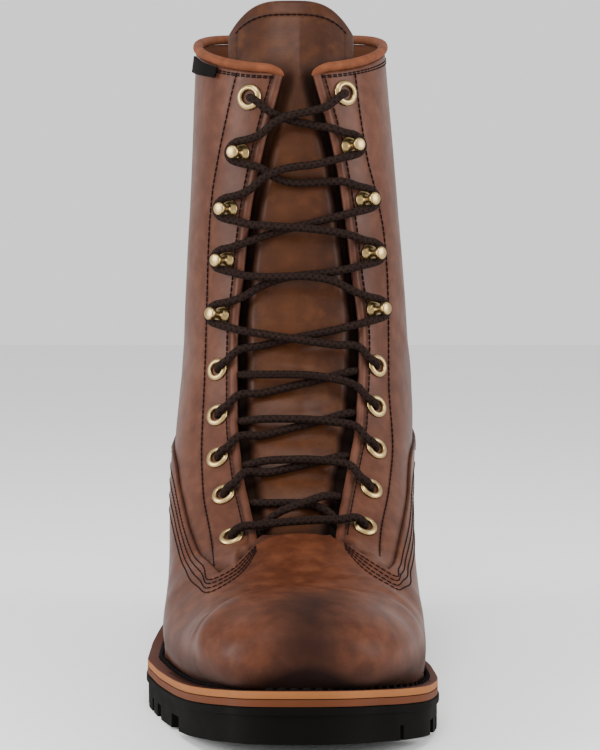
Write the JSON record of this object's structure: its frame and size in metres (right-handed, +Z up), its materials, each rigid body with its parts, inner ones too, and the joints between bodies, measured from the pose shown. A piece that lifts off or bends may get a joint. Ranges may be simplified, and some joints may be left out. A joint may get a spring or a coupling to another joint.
{
  "type": "logger boot",
  "caption": "Right logger boot in brown oiled leather, tall laced shaft, plain toe, rolled collar, tan welt and midsole, black lugged sole with a high heel.",
  "frame": {"origin": "centre of the heel's underside, on the ground plane", "axes": "+Z up, -Y towards the toe, +X towards the medial side"},
  "size_m": [0.1152, 0.311, 0.291],
  "materials": {
    "upper_leather": "oiled brown, soft gloss",
    "tan_leather": "tan edge, matt",
    "sole_rubber": "black, matt",
    "hardware": "antiqued, satin",
    "lace_cord": "round woven cord",
    "lining": "natural, matt",
    "label": "blank woven tag"
  },
  "bodies": {
    "root": {"upper": "upper_leather", "tongue": "upper_leather", "collar_roll": "tan_leather", "collar_tag": "label", "welt": "tan_leather", "midsole": "tan_leather", "insole": "lining", "outsole": "sole_rubber", "heel": "sole_rubber", "lace_cross_1": "lace_cord", "lace_cross_2": "lace_cord", "lace_cross_3": "lace_cord", "lace_cross_4": "lace_cord", "lace_cross_5": "lace_cord", "lace_cross_6": "lace_cord", "lace_cross_7": "lace_cord", "lace_cross_8": "lace_cord", "lace_cross_9": "lace_cord", "lace_bar": "lace_cord", "eyelet_lateral_1": "hardware", "eyelet_lateral_6": "hardware", "eyelet_lateral_7": "hardware", "eyelet_lateral_8": "hardware", "eyelet_lateral_9": "hardware", "eyelet_lateral_10": "hardware", "eyelet_medial_1": "hardware", "eyelet_medial_6": "hardware", "eyelet_medial_7": "hardware", "eyelet_medial_8": "hardware", "eyelet_medial_9": "hardware", "eyelet_medial_10": "hardware", "hook_lateral_2": "hardware", "hook_lateral_3": "hardware", "hook_lateral_4": "hardware", "hook_lateral_5": "hardware", "hook_medial_2": "hardware", "hook_medial_3": "hardware", "hook_medial_4": "hardware", "hook_medial_5": "hardware"}
  },
  "joints": []
}
